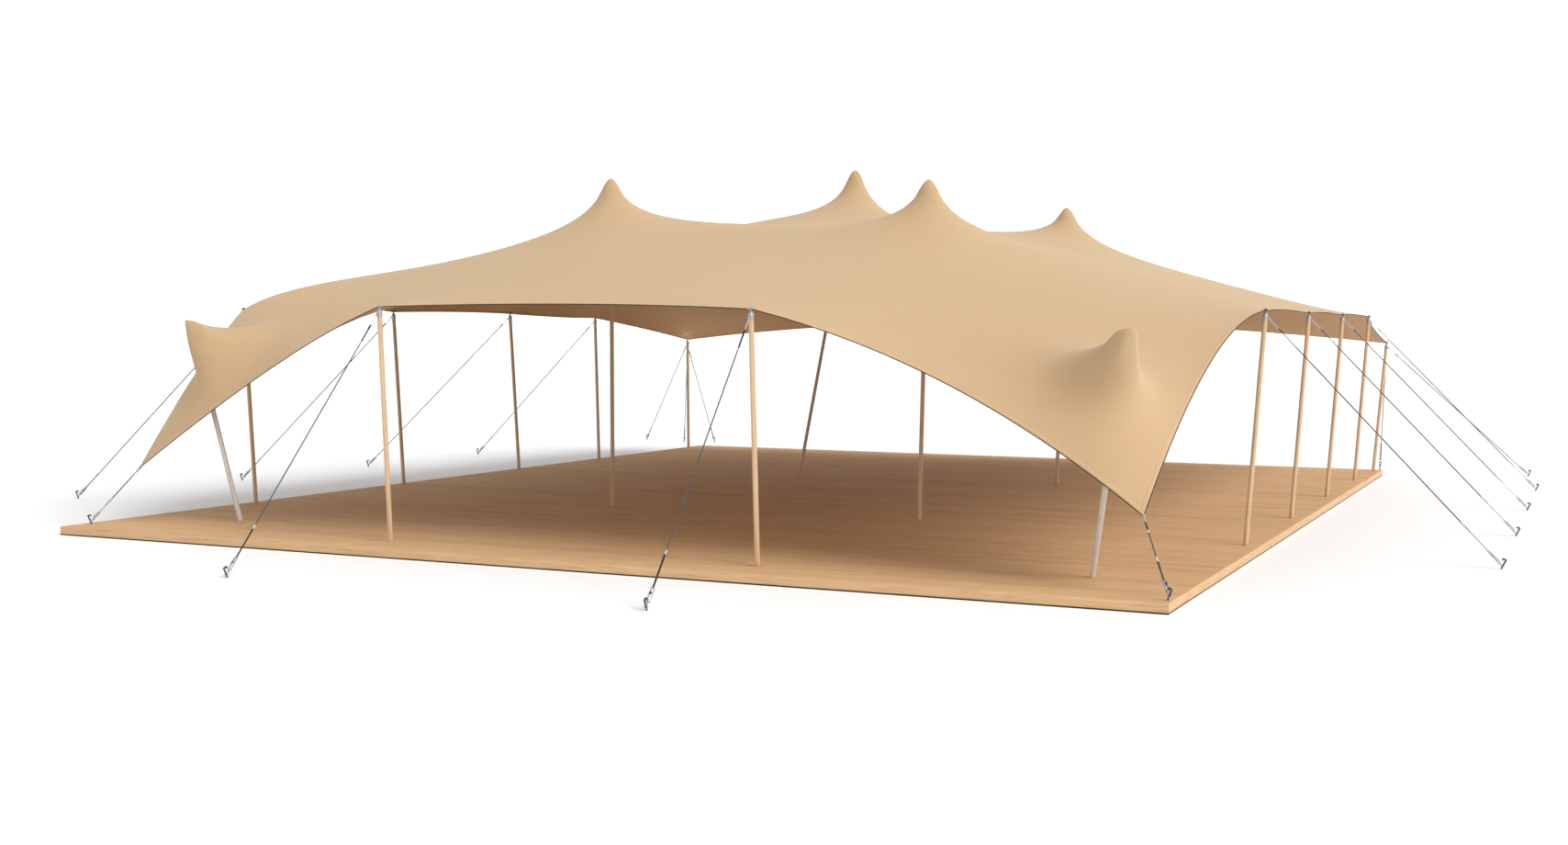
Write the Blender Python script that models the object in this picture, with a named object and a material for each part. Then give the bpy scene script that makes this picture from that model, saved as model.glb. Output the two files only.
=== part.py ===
"""Stretch tent on a timber deck.

One stretched fabric sheet hangs over four king poles, twelve outer poles and two slanted
corner poles. Guy lines with ratchets run from the outer poles to steel stakes in the
ground. Metres, +Z up, front towards -Y. The origin is on the ground under the deck's centre.
"""

import itertools
import math

import bmesh
import bpy
import numpy as np
from mathutils import Matrix, Vector

# Deck
DECK_WIDTH = 15.4
DECK_LENGTH = 19.2
DECK_HEIGHT = 0.12
BOARD_THICKNESS = 0.028
EDGE_THICKNESS = 0.024
BEARER_WIDTH = 0.045
BEARER_COUNT = 9
CONTACT_GAP = 0.0003

# Poles: a head's place is measured from the deck's left and front edges and its top
SIDE_HEIGHT = 3.04
BACK_CORNER_HEIGHT = 2.5
OUTWARD_LEAN = 0.20
SMALLER_LEANS = {"left_4": 0.095, "left_5": 0.03}
POLE_RADIUS = 0.032
CORNER_POLE_RADIUS = 0.034
POLE_SIDES = 12
COLLAR_RADIUS = 0.038
COLLAR_LENGTH = 0.12
CAP_SLOPE = 1.5
POINT_SLOPE = 2.2
FOOT_CHAMFER = 0.006

# Canopy
SHEET_CELL = 0.1
SHEET_THICKNESS = 0.012
BILLOW_MIDDLE = 0.018
BILLOW_LEFT = 3.12
BILLOW_REACH = 0.0243
TIP_DROP = 0.085
CORNER_TIP_DROP = 0.028
BUMP_PUSH = 0.63
BUMP_REACH = 0.32
HEAD_INSET = 0.2
WIDEST_STRIP = 9
SOLVER_SWEEPS = 500

# Guy lines and stakes
GUY_SIDES = 6
EYE_RADIUS = 0.014
GUY_DROP = 0.09
SHACKLE_LENGTH = 0.20
TAIL_LENGTH = 0.26
STRAP_LENGTH = 0.40
RATCHET_LENGTH = 0.21
SHACKLE_RADIUS = 0.015
TAIL_RADIUS = 0.012
CABLE_RADIUS = 0.007
STRAP_RADIUS = 0.013
RATCHET_RADIUS = 0.024
STAKE_RADIUS = 0.012
STAKE_HEIGHT = 0.115
STAKE_LEAN = 0.055
STAKE_HEAD = 0.045
STAKE_HOOK_HEIGHT = 0.030


def clear_scene():
    for item in list(bpy.data.objects):
        bpy.data.objects.remove(item, do_unlink=True)


def material(name, colour, roughness, metallic=0.0):
    made = bpy.data.materials.new(name)
    made.use_nodes = True
    shader = made.node_tree.nodes["Principled BSDF"]
    shader.inputs["Base Color"].default_value = (*colour, 1.0)
    shader.inputs["Roughness"].default_value = roughness
    shader.inputs["Metallic"].default_value = metallic
    made.diffuse_color = (*colour, 1.0)
    return made


def make_materials():
    return {
        "canopy_fabric": material("canopy_fabric", (0.70, 0.51, 0.29), 0.85),
        "deck_timber": material("deck_timber", (0.62, 0.39, 0.20), 0.6),
        "pole_timber": material("pole_timber", (0.72, 0.46, 0.24), 0.55),
        "pole_steel": material("pole_steel", (0.66, 0.63, 0.58), 0.4, 0.6),
        "guy_cable": material("guy_cable", (0.07, 0.07, 0.07), 0.6, 0.2),
    }


def on_deck(x, y, height):
    """The world point at x from the deck's left edge, y from its front edge, above its top."""
    return Vector((x - DECK_WIDTH / 2, y - DECK_LENGTH / 2, DECK_HEIGHT + height))


def on_ground(x, y):
    return Vector((x - DECK_WIDTH / 2, y - DECK_LENGTH / 2, 0.0))


def add_object(name, mesh, finish):
    made = bpy.data.objects.new(name, mesh)
    bpy.context.scene.collection.objects.link(made)
    mesh.materials.append(finish)
    return made


def mesh_from(name, edit):
    bmesh.ops.recalc_face_normals(edit, faces=edit.faces)
    mesh = bpy.data.meshes.new(name)
    edit.to_mesh(mesh)
    edit.free()
    return mesh


def box(name, low, high, finish):
    low = Vector(low)
    high = Vector(high)
    edit = bmesh.new()
    bmesh.ops.create_cube(edit, size=1.0)
    size = high - low
    place = Matrix.Translation((low + high) / 2) @ Matrix.Diagonal((*size, 1.0))
    bmesh.ops.transform(edit, matrix=place, verts=edit.verts)
    return add_object(name, mesh_from(name, edit), finish)


def turned(name, profile, sides, finish):
    """A closed solid turned about +Z from (radius, height) pairs, bottom to top."""
    edit = bmesh.new()
    rings = []
    for radius, height in profile:
        if radius == 0.0:
            rings.append([edit.verts.new((0.0, 0.0, height))])
            continue
        ring = []
        for step in range(sides):
            angle = 2 * math.pi * step / sides
            ring.append(edit.verts.new((radius * math.cos(angle), radius * math.sin(angle), height)))
        rings.append(ring)
    for lower, upper in zip(rings, rings[1:]):
        for step in range(sides):
            after = (step + 1) % sides
            corners = [lower[step % len(lower)], lower[after % len(lower)]]
            corners += [upper[after % len(upper)], upper[step % len(upper)]]
            edit.faces.new(list(dict.fromkeys(corners)))
    for ring in (rings[0], rings[-1]):
        if len(ring) > 1:
            edit.faces.new(ring)
    mesh = mesh_from(name, edit)
    mesh.shade_smooth()
    mesh.set_sharp_from_angle(angle=math.radians(40))
    return add_object(name, mesh, finish)


def ball_end(radius, centre_height, upward, steps=2):
    """Profile points of a rounded end, from its widest ring to the axis."""
    sign = 1 if upward else -1
    points = []
    for step in range(steps + 1):
        angle = math.pi / 2 * step / steps
        ring = 0.0 if step == steps else radius * math.cos(angle)
        points.append((ring, centre_height + sign * radius * math.sin(angle)))
    return points


def aim(item, start, end):
    """Stands an object's +Z axis along the line from start to end, with its origin at start."""
    item.location = start
    item.rotation_mode = "QUATERNION"
    item.rotation_quaternion = (end - start).to_track_quat("Z", "Y")


# Deck


def make_deck(finish):
    half_width = DECK_WIDTH / 2
    half_length = DECK_LENGTH / 2
    inner_width = half_width - EDGE_THICKNESS
    inner_length = half_length - EDGE_THICKNESS
    gap = CONTACT_GAP
    box(
        "deck_edge_front",
        (-half_width, -half_length, 0.0),
        (half_width, -inner_length, DECK_HEIGHT),
        finish,
    )
    box(
        "deck_edge_back",
        (-half_width, inner_length, 0.0),
        (half_width, half_length, DECK_HEIGHT),
        finish,
    )
    for name, outer in (("deck_edge_left", -half_width), ("deck_edge_right", half_width)):
        inner = math.copysign(inner_width, outer)
        box(
            name,
            (min(outer, inner), -inner_length + gap, 0.0),
            (max(outer, inner), inner_length - gap, DECK_HEIGHT),
            finish,
        )
    floor_bottom = DECK_HEIGHT - BOARD_THICKNESS
    box(
        "deck_floor",
        (-inner_width + gap, -inner_length + gap, floor_bottom),
        (inner_width - gap, inner_length - gap, DECK_HEIGHT),
        finish,
    )
    make_bearers(inner_width - gap, inner_length - gap, floor_bottom - gap, finish)


def make_bearers(half_width, half_length, height, finish):
    """The bearers that carry the floor, side by side under it, the middle one under its centre."""
    reach = half_width - BEARER_WIDTH / 2
    for k in range(BEARER_COUNT):
        centre = -reach + 2 * reach * k / (BEARER_COUNT - 1)
        box(
            f"deck_bearer_{k + 1}",
            (centre - BEARER_WIDTH / 2, -half_length, 0.0),
            (centre + BEARER_WIDTH / 2, half_length, height),
            finish,
        )


# Canopy


def hem_points():
    """The places that hold the hem, by name."""
    right = DECK_WIDTH + 0.005
    front = 0.45
    return {
        "tip_left": on_deck(0.75, 0.75, 0.80),
        "front_1": on_deck(5.13, front, SIDE_HEIGHT),
        "front_2": on_deck(10.415, front, SIDE_HEIGHT - 0.03),
        "tip_right": on_deck(15.025, 0.42, 0.84),
        "left_1": on_deck(-0.03, 3.75, SIDE_HEIGHT),
        "left_2": on_deck(-0.02, 7.53, SIDE_HEIGHT),
        "left_3": on_deck(0.0, 11.17, SIDE_HEIGHT),
        "left_4": on_deck(-0.01, 14.4, SIDE_HEIGHT - 0.06),
        "left_5": on_deck(0.03, 18.5, BACK_CORNER_HEIGHT),
        "right_1": on_deck(right, 5.35, SIDE_HEIGHT),
        "right_2": on_deck(right, 9.05, SIDE_HEIGHT),
        "right_3": on_deck(right, 12.75, SIDE_HEIGHT),
        "right_4": on_deck(right, 16.4, SIDE_HEIGHT),
        "right_5": on_deck(right + 0.06, 18.85, BACK_CORNER_HEIGHT + 0.04),
    }


# Each hem runs through its places in order; a span bows inwards in plan and lifts in the middle.
FRONT_HEM = (("tip_left", "front_1", 0.35, 0.30), ("front_1", "front_2", 0.30, 0.05))
FRONT_HEM += (("front_2", "tip_right", 0.30, 0.25),)
LEFT_HEM = (("tip_left", "left_1", 0.08, 0.22), ("left_1", "left_2", 0.10, 0.08))
LEFT_HEM += (("left_2", "left_3", 0.10, 0.02), ("left_3", "left_4", 0.10, -0.02))
LEFT_HEM += (("left_4", "left_5", 0.10, 0.0),)
RIGHT_HEM = (("tip_right", "right_1", 0.0, 0.50), ("right_1", "right_2", 0.05, 0.03))
RIGHT_HEM += (("right_2", "right_3", 0.05, 0.03), ("right_3", "right_4", 0.05, 0.03))
RIGHT_HEM += (("right_4", "right_5", 0.10, 0.05),)
BACK_HEM = (("left_5", "right_5", 0.60, 0.42),)

# Inner poles under the sheet: where each head is, and where its foot stands.
KING_POLES = {
    "king_1": ((5.33, 5.95, 5.09), (5.33, 6.0)),
    "king_2": ((10.43, 6.3, 4.95), (10.33, 6.3)),
    "king_3": ((6.3, 13.4, 5.785), (5.365, 13.05)),
    "king_4": ((10.62, 12.9, 4.945), (10.5, 12.9)),
}
# A corner pole lifts the sheet straight up at the first place and then pushes it outwards.
CORNER_POLES = {
    "corner_left": ((1.754, 1.562, 2.857), (1.786, 1.593)),
    "corner_right": ((14.24, 1.46, 2.80), (14.2, 1.5)),
}

# The grid lines that the solid sheet keeps round a head, counted outwards from it.
ROUND_KING = (-3, -1, 0, 1, 3)
ROUND_CORNER = (-4, -2, -1, 0, 1, 2, 3, 4, 6)

# Where the sheet bellies out more: the place on the deck, the reach and the amount.
SWELLS = (((4.06, 13.2), 1.2, 0.4),)


def hem_line(spans, places, cells, inward):
    """Points along one hem, one for each grid line, and the line at each held place."""
    lengths = [(places[b] - places[a]).to_2d().length for a, b, _, _ in spans]
    counts = [round(cells * length / sum(lengths)) for length in lengths]
    counts[-1] += cells - sum(counts)
    points = [np.array(places[spans[0][0]])]
    held = [0]
    for (start, end, bow, lift), count in zip(spans, counts):
        a = np.array(places[start])
        b = np.array(places[end])
        for step in range(1, count + 1):
            t = step / count
            hump = 4 * t * (1 - t)
            points.append(a + (b - a) * t + np.array((*inward, 0.0)) * bow * hump)
            points[-1][2] += lift * hump
        held.append(held[-1] + count)
    return np.array(points), held


def relax(field, free, source=0.0):
    """Settles the free points of a grid until each is the mean of its neighbours plus source."""
    cells = max(free.shape) - 1
    over = 2 / (1 + math.sin(math.pi / cells))
    i, j = np.indices(free.shape)
    shares = [(free & ((i + j) % 2 == k))[1:-1, 1:-1] * over for k in (0, 1)]
    if field.ndim == 3:
        shares = [share[..., None] for share in shares]
    inner = field[1:-1, 1:-1]
    for _ in range(SOLVER_SWEEPS):
        for share in shares:
            mean = (field[:-2, 1:-1] + field[2:, 1:-1] + field[1:-1, :-2] + field[1:-1, 2:]) / 4
            inner += share * (mean + source - inner)


def nearest_node(grid, point):
    apart = np.hypot(grid[..., 0] - point.x, grid[..., 1] - point.y)
    return np.unravel_index(np.argmin(apart), apart.shape)


def form_sheet(places):
    """The sheet's underside as a grid of points, with the grid node over each inner pole."""
    across = round(DECK_WIDTH / SHEET_CELL)
    along = round(DECK_LENGTH / SHEET_CELL)
    front, front_held = hem_line(FRONT_HEM, places, across, (0.0, 1.0))
    back, _ = hem_line(BACK_HEM, places, across, (0.0, -1.0))
    left, left_held = hem_line(LEFT_HEM, places, along, (1.0, 0.0))
    right, right_held = hem_line(RIGHT_HEM, places, along, (-1.0, 0.0))
    u = np.linspace(0.0, 1.0, across + 1)[:, None, None]
    v = np.linspace(0.0, 1.0, along + 1)[None, :, None]
    sides = (1 - u) * left[None] + u * right[None]
    ends = (1 - v) * front[:, None] + v * back[:, None]
    corners = (1 - u) * (1 - v) * front[0] + u * (1 - v) * front[-1]
    corners = corners + (1 - u) * v * back[0] + u * v * back[-1]
    grid = sides + ends - corners
    free = np.zeros(grid.shape[:2], bool)
    free[1:-1, 1:-1] = True
    plan = np.ascontiguousarray(grid[..., :2])
    relax(plan, free)
    grid[..., :2] = plan
    nodes = {}
    for name, (head, _) in {**KING_POLES, **CORNER_POLES}.items():
        point = on_deck(*head)
        i, j = nearest_node(grid, point)
        nodes[name] = (i, j)
        drop = TIP_DROP if name in KING_POLES else CORNER_TIP_DROP
        for di, dj in itertools.product((-1, 0, 1), repeat=2):
            grid[i + di, j + dj, 2] = point.z - drop * (di * di + dj * dj)
            free[i + di, j + dj] = False
    height = np.ascontiguousarray(grid[..., 2])
    billow = BILLOW_MIDDLE + BILLOW_LEFT * np.exp(-u[..., 0] / BILLOW_REACH)
    for place, reach, amount in SWELLS:
        centre = on_deck(*place, 0.0)
        apart = np.hypot(grid[..., 0] - centre.x, grid[..., 1] - centre.y)
        billow = billow + amount * np.exp(-((apart / reach) ** 2))
    relax(height, free, billow[1:-1, 1:-1] * SHEET_CELL**2 / 4)
    grid[..., 2] = height
    push_bumps(grid, nodes)
    held = (front_held, sorted({*left_held, *right_held}))
    return grid, nodes, held


def side_of(point):
    """-1 on the left of the deck's middle and 1 on its right."""
    return math.copysign(1.0, point[0])


def push_bumps(grid, nodes):
    """Pushes the cloth over each slanted corner pole outwards, towards the deck's corner."""
    for name in CORNER_POLES:
        centre = grid[nodes[name]][:2].copy()
        outward = np.array((side_of(centre), -1.0)) * BUMP_PUSH / math.sqrt(2)
        apart = np.linalg.norm(grid[..., :2] - centre, axis=-1)
        share = np.exp(-((apart / BUMP_REACH) ** 2))
        share[:, 0] = share[:, -1] = share[0] = share[-1] = 0.0
        grid[..., :2] += share[..., None] * outward


def corner_head(grid, node):
    """Where a corner pole's head meets the cloth, a little inboard of its bump's peak."""
    i, j = node
    inboard = grid[i - round(side_of(grid[node])), j + 1]
    return Vector(grid[node] + (inboard - grid[node]) * HEAD_INSET)


def grid_lines(last, wanted):
    """The wanted grid lines, and enough between them that no strip is too wide."""
    fixed = sorted({0, last, *wanted})
    lines = [0]
    for a, b in zip(fixed, fixed[1:]):
        parts = math.ceil((b - a) / WIDEST_STRIP)
        lines += [a + round((b - a) * k / parts) for k in range(1, parts + 1)]
    return lines


def make_canopy(grid, nodes, held, finish):
    """The sheet as one closed thin solid, finer round the pole heads."""
    across = []
    along = []
    for name, (i, j) in nodes.items():
        outward = round(side_of(grid[i, j]))
        steps = ROUND_CORNER if name in CORNER_POLES else ROUND_KING
        across += [i + outward * step for step in steps]
        along += [j - step for step in steps]
    rows = grid_lines(grid.shape[0] - 1, across + held[0])
    columns = grid_lines(grid.shape[1] - 1, along + held[1])
    edit = bmesh.new()
    lift = Vector((0.0, 0.0, CONTACT_GAP))
    verts = [[edit.verts.new(Vector(grid[i, j]) + lift) for j in columns] for i in rows]
    for a, b in zip(verts, verts[1:]):
        for k in range(len(columns) - 1):
            edit.faces.new((a[k], b[k], b[k + 1], a[k + 1]))
    mesh = bpy.data.meshes.new("canopy")
    edit.to_mesh(mesh)
    edit.free()
    mesh.shade_smooth()
    canopy = add_object("canopy", mesh, finish)
    shell = canopy.modifiers.new("thickness", "SOLIDIFY")
    shell.thickness = SHEET_THICKNESS
    shell.offset = 1.0
    return canopy


# Poles


def make_pole(name, head, foot, radius, finish, collar=True):
    """A round pole from its foot on the deck to a pointed head, with a collar below the head."""
    lean = math.atan2((head - foot).to_2d().length, (head - foot).z)
    start = foot + Vector((0.0, 0.0, radius * math.sin(lean) + CONTACT_GAP))
    length = (head - start).length
    profile = [(radius - FOOT_CHAMFER, 0.0), (radius, FOOT_CHAMFER)]
    if collar:
        top = length - COLLAR_RADIUS * CAP_SLOPE
        bottom = top - COLLAR_LENGTH
        profile += [(radius, bottom), (COLLAR_RADIUS, bottom + FOOT_CHAMFER)]
        profile += [(COLLAR_RADIUS, top)]
    else:
        profile += [(radius, length - radius * POINT_SLOPE)]
    profile += [(0.0, length)]
    pole = turned(name, profile, POLE_SIDES, finish)
    aim(pole, start, head)
    return pole


def outer_feet(places):
    """Where each outer pole stands: straight below its head, a little further in."""
    feet = {}
    for name, head in places.items():
        foot = Vector((head.x, head.y, DECK_HEIGHT))
        lean = SMALLER_LEANS.get(name, OUTWARD_LEAN)
        if name.startswith("left"):
            foot.x += lean
        if name.startswith("right"):
            foot.x -= lean
        if name.startswith("front"):
            foot.y += lean
        feet[name] = foot
    return feet


def make_poles(places, grid, nodes, timber, steel):
    for name, foot in outer_feet(places).items():
        if not name.startswith("tip"):
            make_pole(f"pole_{name}", places[name], foot, POLE_RADIUS, timber)
    for name, (_, foot) in KING_POLES.items():
        head = Vector(grid[nodes[name]])
        make_pole(f"pole_{name}", head, on_deck(*foot, 0.0), POLE_RADIUS, timber, False)
    for name, (_, foot) in CORNER_POLES.items():
        head = corner_head(grid, nodes[name])
        make_pole(f"pole_{name}", head, on_deck(*foot, 0.0), CORNER_POLE_RADIUS, steel, False)


# Guy lines


def make_stake(name, base, toward, finish):
    """A round steel stake that leans away from the tent, with its head bent back towards it."""
    path = [
        base,
        base - toward * STAKE_LEAN * 0.9 + Vector((0.0, 0.0, STAKE_HEIGHT * 0.9)),
        base - toward * STAKE_LEAN + Vector((0.0, 0.0, STAKE_HEIGHT)),
        base - toward * (STAKE_LEAN - STAKE_HEAD) + Vector((0.0, 0.0, STAKE_HEIGHT + 0.006)),
    ]
    side = toward.cross(Vector((0.0, 0.0, 1.0)))
    edit = bmesh.new()
    rings = []
    for k, point in enumerate(path):
        before = (path[k] - path[k - 1]).normalized() if k else Vector((0.0, 0.0, 1.0))
        after = (path[k + 1] - path[k]).normalized() if k + 1 < len(path) else before
        along = (before + after).normalized() if k else before
        across = side.cross(along).normalized()
        ring = []
        for step in range(GUY_SIDES):
            angle = 2 * math.pi * step / GUY_SIDES
            offset = side * math.cos(angle) + across * math.sin(angle)
            ring.append(edit.verts.new(point + offset * STAKE_RADIUS))
        rings.append(ring)
    for lower, upper in zip(rings, rings[1:]):
        for step in range(GUY_SIDES):
            after = (step + 1) % GUY_SIDES
            edit.faces.new((lower[step], lower[after], upper[after], upper[step]))
    edit.faces.new(rings[0])
    edit.faces.new(rings[-1])
    return add_object(name, mesh_from(name, edit), finish)


def guy_profile(length, short):
    """Radii and heights from the stake's hook up to the eye at the top."""
    strap = STRAP_LENGTH * (0.5 if short else 1.0)
    tail = TAIL_LENGTH * (0.3 if short else 1.0)
    shackle = SHACKLE_LENGTH * (0.3 if short else 1.0)
    hook = 0.05
    ratchet_top = hook + RATCHET_LENGTH * (0.7 if short else 1.0)
    strap_top = ratchet_top + strap
    tail_bottom = length - shackle - tail
    profile = ball_end(0.009, 0.0, False)[::-1]
    profile += [(0.009, hook), (RATCHET_RADIUS, hook + 0.015), (RATCHET_RADIUS, ratchet_top - 0.015)]
    profile += [(STRAP_RADIUS, ratchet_top), (STRAP_RADIUS, strap_top)]
    profile += [(CABLE_RADIUS, strap_top + 0.01), (CABLE_RADIUS, tail_bottom)]
    profile += [(TAIL_RADIUS, tail_bottom + 0.01), (TAIL_RADIUS, tail_bottom + tail)]
    profile += [(SHACKLE_RADIUS, length - shackle + 0.01), (SHACKLE_RADIUS, length - 0.04)]
    profile += [(EYE_RADIUS, length - 0.02)]
    profile += ball_end(EYE_RADIUS, length, True)
    return profile


def make_guy(name, top, stake_base, finish, short=False):
    """One guy line from the eye at its top to the stake that holds it, as one joined piece."""
    toward = (top - stake_base).to_2d().to_3d().normalized()
    stake = make_stake(f"{name}_stake", stake_base, toward, finish)
    hook = stake_base + Vector((0.0, 0.0, STAKE_HOOK_HEIGHT))
    hook -= toward * STAKE_LEAN * STAKE_HOOK_HEIGHT / STAKE_HEIGHT
    line = turned(name, guy_profile((top - hook).length, short), GUY_SIDES, finish)
    aim(line, hook, top)
    combine(line, stake, "UNION")
    return line


def combine(item, helper, operation):
    """Joins a helper solid to an item or cuts it away, and hides the helper."""
    step = item.modifiers.new(helper.name, "BOOLEAN")
    step.operation = operation
    step.object = helper
    step.solver = "EXACT"
    helper.hide_render = True
    helper.display_type = "WIRE"


def seat_on_collar(line, head, foot, finish):
    """Cuts a guy's top eye so that it bears on the pole's collar."""
    radius = COLLAR_RADIUS + CONTACT_GAP / math.cos(math.pi / POLE_SIDES)
    below = COLLAR_LENGTH + COLLAR_RADIUS * CAP_SLOPE
    seat = turned(f"{line.name}_seat", [(radius, -below), (radius, 0.0)], POLE_SIDES, finish)
    aim(seat, head, head + head - foot)
    combine(line, seat, "DIFFERENCE")


def collar_eye(head, foot, stake_base, lower):
    """The centre of a guy's top eye, beside the pole's collar on the side of the stake."""
    axis = (head - foot).normalized()
    centre = head - axis * (GUY_DROP + lower)
    outward = stake_base - centre
    outward -= axis * outward.dot(axis)
    return centre + outward.normalized() * (COLLAR_RADIUS + EYE_RADIUS / 2)


# Each guy's pole, its stake's place from the deck's left and front edges, and how much lower
# than the others it meets the collar.
GUYS = {
    "guy_front_1": ("front_1", (4.98, -2.2), 0.0),
    "guy_front_2": ("front_2", (10.48, -2.12), 0.0),
    "guy_left_1": ("left_1", (-3.76, 3.9), 0.0),
    "guy_left_2": ("left_2", (-3.76, 7.85), 0.0),
    "guy_left_3": ("left_3", (-3.76, 11.6), 0.0),
    "guy_left_4": ("left_4", (-3.80, 15.6), 0.0),
    "guy_left_5_side": ("left_5", (-3.0, 22.0), 0.0),
    "guy_left_5_middle": ("left_5", (-1.7, 21.6), 0.038),
    "guy_left_5_back": ("left_5", (-1.0, 21.9), 0.076),
    "guy_right_1": ("right_1", (18.3, 5.3), 0.0),
    "guy_right_2": ("right_2", (18.3, 9.15), 0.0),
    "guy_right_3": ("right_3", (18.3, 13.1), 0.0),
    "guy_right_4": ("right_4", (18.3, 17.0), 0.0),
    "guy_right_5_side": ("right_5", (18.05, 20.4), 0.0),
    "guy_right_5_back": ("right_5", (15.21, 20.5), 0.0),
}
TIP_GUYS = {
    "guy_corner_left": ("tip_left", (0.18, 0.40)),
    "guy_corner_right": ("tip_right", (15.345, 0.20)),
}


def make_guys(places, finish):
    feet = outer_feet(places)
    lowest = STAKE_RADIUS * STAKE_LEAN / STAKE_HEIGHT
    for name, (pole, stake, lower) in GUYS.items():
        base = on_ground(*stake) + Vector((0.0, 0.0, lowest))
        top = collar_eye(places[pole], feet[pole], base, lower)
        line = make_guy(name, top, base, finish)
        seat_on_collar(line, places[pole], feet[pole], finish)
    for name, (tip, stake) in TIP_GUYS.items():
        base = on_deck(*stake, lowest + CONTACT_GAP)
        away = (base - places[tip]).normalized()
        top = places[tip] + away * (EYE_RADIUS + CONTACT_GAP)
        make_guy(name, top, base, finish, short=True)


def main():
    clear_scene()
    finishes = make_materials()
    places = hem_points()
    grid, nodes, held = form_sheet(places)
    make_deck(finishes["deck_timber"])
    make_canopy(grid, nodes, held, finishes["canopy_fabric"])
    make_poles(places, grid, nodes, finishes["pole_timber"], finishes["pole_steel"])
    make_guys(places, finishes["guy_cable"])


main()
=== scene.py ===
"""Stretch tent on a timber deck, dressed: cloth, hems, poles, fittings, guys and boards."""

import itertools
import math

import bmesh
import bpy
import numpy as np
from mathutils import Matrix, Vector


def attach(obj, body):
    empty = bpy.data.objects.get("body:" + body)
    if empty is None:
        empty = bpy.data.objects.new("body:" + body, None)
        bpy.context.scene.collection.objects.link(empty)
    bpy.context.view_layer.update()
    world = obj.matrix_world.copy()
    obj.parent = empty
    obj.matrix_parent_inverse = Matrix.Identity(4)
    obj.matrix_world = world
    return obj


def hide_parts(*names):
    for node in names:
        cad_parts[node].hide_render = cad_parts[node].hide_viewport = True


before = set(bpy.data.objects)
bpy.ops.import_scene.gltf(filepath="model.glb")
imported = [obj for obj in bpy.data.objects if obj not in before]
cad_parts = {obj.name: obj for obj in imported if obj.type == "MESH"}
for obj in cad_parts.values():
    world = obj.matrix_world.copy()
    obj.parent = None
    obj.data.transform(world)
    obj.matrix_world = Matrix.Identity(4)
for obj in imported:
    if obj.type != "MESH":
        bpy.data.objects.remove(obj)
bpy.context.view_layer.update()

# Deck
DECK_WIDTH = 15.4
DECK_LENGTH = 19.2
DECK_HEIGHT = 0.12
BOARD_THICKNESS = 0.028
BOARD_WIDTH = 0.137
BOARD_GAP = 0.0025
BOARD_CHAMFER = 0.002
BOARD_LENGTHS = (3.0, 4.8)
SHORTEST_FIRST_BOARD = 0.6
SHORTEST_LAST_BOARD = 0.5
BOARD_SEED = 7
BOARD_TONES = (0.5, 0.24)
GRAIN_SHIFT = 90.0
EDGE_THICKNESS = 0.024
EDGE_ROUND = 0.004
PLINTH_HEIGHT = 0.018
PLINTH_INSET = 0.007
PLINTH_OVERLAP = 0.002
CONTACT_GAP = 0.0003

# Poles
SIDE_HEIGHT = 3.04
BACK_CORNER_HEIGHT = 2.5
OUTWARD_LEAN = 0.20
SMALLER_LEANS = {"left_4": 0.095, "left_5": 0.03}
POLE_RADIUS = 0.032
CORNER_POLE_RADIUS = 0.034
COLLAR_RADIUS = 0.038
SLEEVE_LENGTH = 0.058
CLAMP_RADIUS = 0.048
CAP_SLOPE = 1.5
POINT_SLOPE = 2.2
POLE_EASE = 0.003
FOOT_TOP = 0.022
POLE_SIDES = 32
LUG_THICKNESS = 0.005
LUG_ROOT = 0.022
LUG_ROUND = 0.016
SCREW_ANGLES = (0.4, 2.5, 4.6)

# Canopy
SHEET_CELL = 0.1
CLOTH_THICKNESS = 0.004
THREAD_PITCH = 0.0022
BILLOW_MIDDLE = 0.018
BILLOW_LEFT = 3.12
BILLOW_REACH = 0.0243
TIP_DROP = 0.085
CORNER_TIP_DROP = 0.028
BUMP_PUSH = 0.63
BUMP_REACH = 0.32
HEAD_INSET = 0.2
SOLVER_SWEEPS = 500
HEM_WIDTH = 0.055
HEM_LIFT = 0.0012
PIPING_RADIUS = 0.0065

# Guy lines and stakes
EYE_RADIUS = 0.014
EYE_REACH = COLLAR_RADIUS + EYE_RADIUS / 2
GUY_DROP = 0.09
SHACKLE_LENGTH = 0.20
TAIL_LENGTH = 0.26
STRAP_LENGTH = 0.40
RATCHET_LENGTH = 0.21
RATCHET_LOW = 0.05
SHORT_GUY_SHARE = 0.3
WEBBING_WIDTH = 0.024
NARROW_WEBBING = 0.022
ROPE_RADIUS = 0.0075
ROPE_SPAN = 0.5
LOOP_WIRE = 0.0035
SHACKLE_WIRE = 0.0042
CORNER_RING_RADIUS = 0.016
STAKE_RADIUS = 0.012
STAKE_HEIGHT = 0.115
STAKE_LEAN = 0.055
STAKE_HEAD = 0.045
STAKE_HOOK_HEIGHT = 0.030
STAKE_LOOP_RADIUS = 0.020

# Camera
CAMERA_SENSOR = 36.0
CAMERA_LENS = 40.755
CAMERA_REACH = 500.0
CAMERA_PLACE = (11.6809, -27.6386, 2.9293)
CAMERA_RIGHT = (0.90777, 0.41945, 0.00453)
CAMERA_FORWARD = (-0.41863, 0.90656, -0.05382)

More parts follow.
